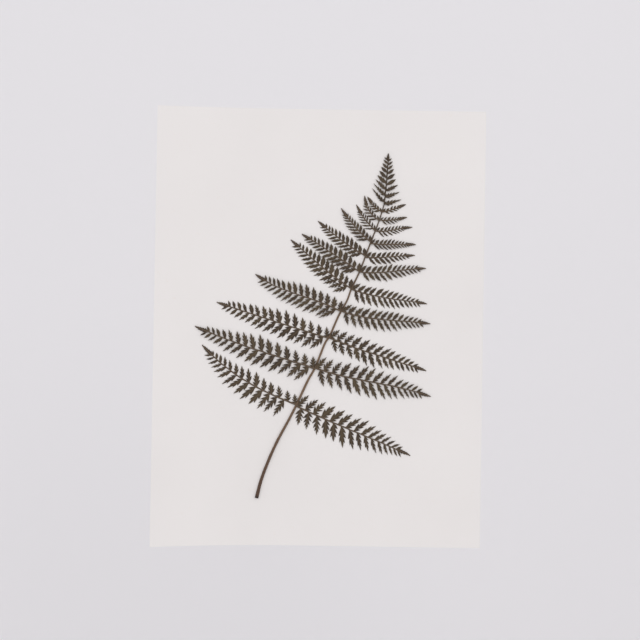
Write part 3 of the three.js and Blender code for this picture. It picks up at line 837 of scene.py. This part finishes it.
def grow(name, axis, values, seed, layer):
    # runs the tree along an axis and keeps the result as a plain mesh, laid on the card
    piece = newPiece(name, bpy.data.meshes.new(name))
    modifier = piece.modifiers.new("pinna", "NODES")
    modifier.node_group = pinnaNodes
    values = {"End Lobe": endForm, "Seed": seed * frond["seedStep"], "Blade": blade, "Costa": costa,
              **values}
    values.update(zip(("Start", "Start Handle", "End Handle", "End"), ((*p, 0) for p in axis)))
    for item in pinnaNodes.interface.items_tree:
        if item.name in values and item.in_out == "INPUT":
            value = values[item.name]
            isFloat = item.socket_type == "NodeSocketFloat"
            modifier[item.identifier] = float(value) if isFloat else value
    graph = bpy.context.evaluated_depsgraph_get()
    mesh = bpy.data.meshes.new_from_object(piece.evaluated_get(graph))
    piece.modifiers.clear()
    piece.data = mesh
    mesh.name = name
    for vertex in mesh.vertices:
        x, z, height = vertex.co
        spot = Vector((x, z, seed * frond["noiseApart"]))
        waver = noise.noise_vector(spot / frond["waverLength"]) * frond["waver"]
        height += frond["ripple"] * noise.noise(spot / frond["rippleLength"])
        near = max(0, 1 - stemPoints.find((x, z, 0))[2] / frond["climbWithin"])
        height += frond["climb"] * near * near * (3 - 2 * near)     # eased at both ends
        x, z = x + waver.x, z + waver.y
        vertex.co = (x, -card["thickness"] - standOff(x, z) - layer - height, z)
    mesh.set_sharp_from_angle(angle=math.radians(frond["edgeAngle"]))
    return piece


def growPinna(side, order):
    # turns the values of one pinna into inputs of the tree
    z, tip, bow, pairs, bareBelow, rowAbove, rowBelow, fill = frond[side][order - 1]
    share = stemShareAt(z * mm)
    base, along = stemSpot(share)
    tip = Vector(tip) * mm
    chord = tip - base
    aside = Vector((-chord.y, chord.x)).normalized()
    near = base + chord / 3 + aside * bow[0] * mm
    far = base + chord * 2 / 3 + aside * bow[1] * mm
    length = reachedAlong(interpolate_bezier(base, near, far, tip, frond["axisSteps"]))[-1]
    out = (near - base).normalized()
    covered = stemHalfWidth(share) / abs(along.x * out.y - along.y * out.x)
    upFrond = min(1, (order - 1) / (frond["changeUpTo"] - 1))
    values = {name: blend(*ends, upFrond) for name, ends in frond["rows"].items()}
    values.update({"Fill": fill, "Count": pairs})
    values["Lobe Length"] = min(blend(*frond["lobeLength"], upFrond), frond["lobeShare"] * length)
    values["Last At"] = 1 - frond["lobeOverlap"] * values["Lobe Length"] / length
    # above is to the left of an axis that runs to the right
    above, below = ("Left", "Right") if side == "right" else ("Right", "Left")
    shares, staggers = frond["shareAtStem"][side], frond["stagger"]
    for name, (longest, baseAngle, tipAngle), atStem, bare, stagger in (
            (above, rowAbove, shares[0], 0, staggers[0]),
            (below, rowBelow, shares[1], bareBelow, staggers[1])):
        values[f"{name} First At"] = (covered + frond["firstFoot"] + bare * mm) / length
        values[f"{name} Stagger"] = stagger
        values[f"{name} Base Share"] = atStem
        values[f"{name} Longest"] = longest * mm
        values[f"{name} Base Angle"] = math.radians(baseAngle)
        values[f"{name} Tip Angle"] = math.radians(tipAngle)
    layer = frond["lowerLayer"] if order % 2 else frond["upperLayer"]
    axis = (base, near, far, tip)
    piece = grow(f"{side}Pinna{order}", axis, {**values, **pinnuleForms}, order, layer)
    dress(piece, f"pinna_{side}_{order:02d}")


def growTip():
    axis = [stemSpot(1)[0]] + [Vector(frondTip[point]) * mm for point in ("near", "far", "end")]
    values = {**frondTip["values"], **leafletForms, "Costa": blade}
    piece = grow("frondTip", axis, values, frondTip["seed"], frond["upperLayer"])
    dress(piece, "frond_tip")


for side in ("left", "right"):
    for order in range(1, len(frond[side]) + 1):
        growPinna(side, order)
    print(side, "pinnae grown")
growTip()
print("tip of the frond grown")


# floor, backdrop, light and camera

stage = {
    "floorBelow": 1.2, "floorSize": 9,
    "backdropBehind": 1.7, "backdropSize": 5,
    "wall": "#f1eff1", "floor": "#e4e2e2",
    "sky": "#fdfdff", "skyStrength": 0.82,
    # each light: power, place and size; all are aimed at the middle of the card
    "lights": {
        "keyLight": (22, (0.7, -3.2, 1.3), 1.8),
        "fillLight": (7, (-2.0, -2.8, 0.3), 2.0),
    },
}


def plainPlane(name, size, colour, place, turn=0):
    mesh = bpy.data.meshes.new(name)
    half = size / 2
    corners = [(-half, -half, 0), (half, -half, 0), (half, half, 0), (-half, half, 0)]
    mesh.from_pydata(corners, [], [(0, 1, 2, 3)])
    plane = newPiece(name, mesh)
    plane.location = place
    plane.rotation_euler.x = turn
    material, _, shader = newMaterial(name + "Paint", roughness=0.9, ior=1.5, gloss=0.3)
    shader.inputs["Base Color"].default_value = linear(colour)
    mesh.materials.append(material)


plainPlane("studioFloor", stage["floorSize"], stage["floor"], (0, 0, -stage["floorBelow"]))
plainPlane("studioBackdrop", stage["backdropSize"], stage["wall"], (0, stage["backdropBehind"], 0),
           math.radians(90))
for name, (power, place, size) in stage["lights"].items():
    light = bpy.data.lights.new(name, "AREA")
    light.energy, light.size = power, size
    lamp = newPiece(name, light)
    lamp.location = place
    lamp.rotation_euler = (-Vector(place)).to_track_quat("-Z", "Y").to_euler()
scene.world = bpy.data.worlds.new("studioSky")
scene.world.use_nodes = True
sky = scene.world.node_tree.nodes["Background"].inputs
sky["Color"].default_value = linear(stage["sky"])
sky["Strength"].default_value = stage["skyStrength"]

view = {
    "from": (0.45 * mm, -1.0, 6.9 * mm),
    "frameWidth": 587 * mm,     # what the square frame takes in at the wall
    "roll": 0.85,               # degrees
    "sensor": 36,               # millimetres
}
camera = newPiece("camera", bpy.data.cameras.new("camera"))
camera.location = view["from"]
camera.rotation_euler = (math.radians(90), math.radians(-view["roll"]), 0)
camera.data.sensor_width = view["sensor"]
camera.data.lens = view["sensor"] * -view["from"][1] / view["frameWidth"]
scene.camera = camera
print("stage, lights and camera set")
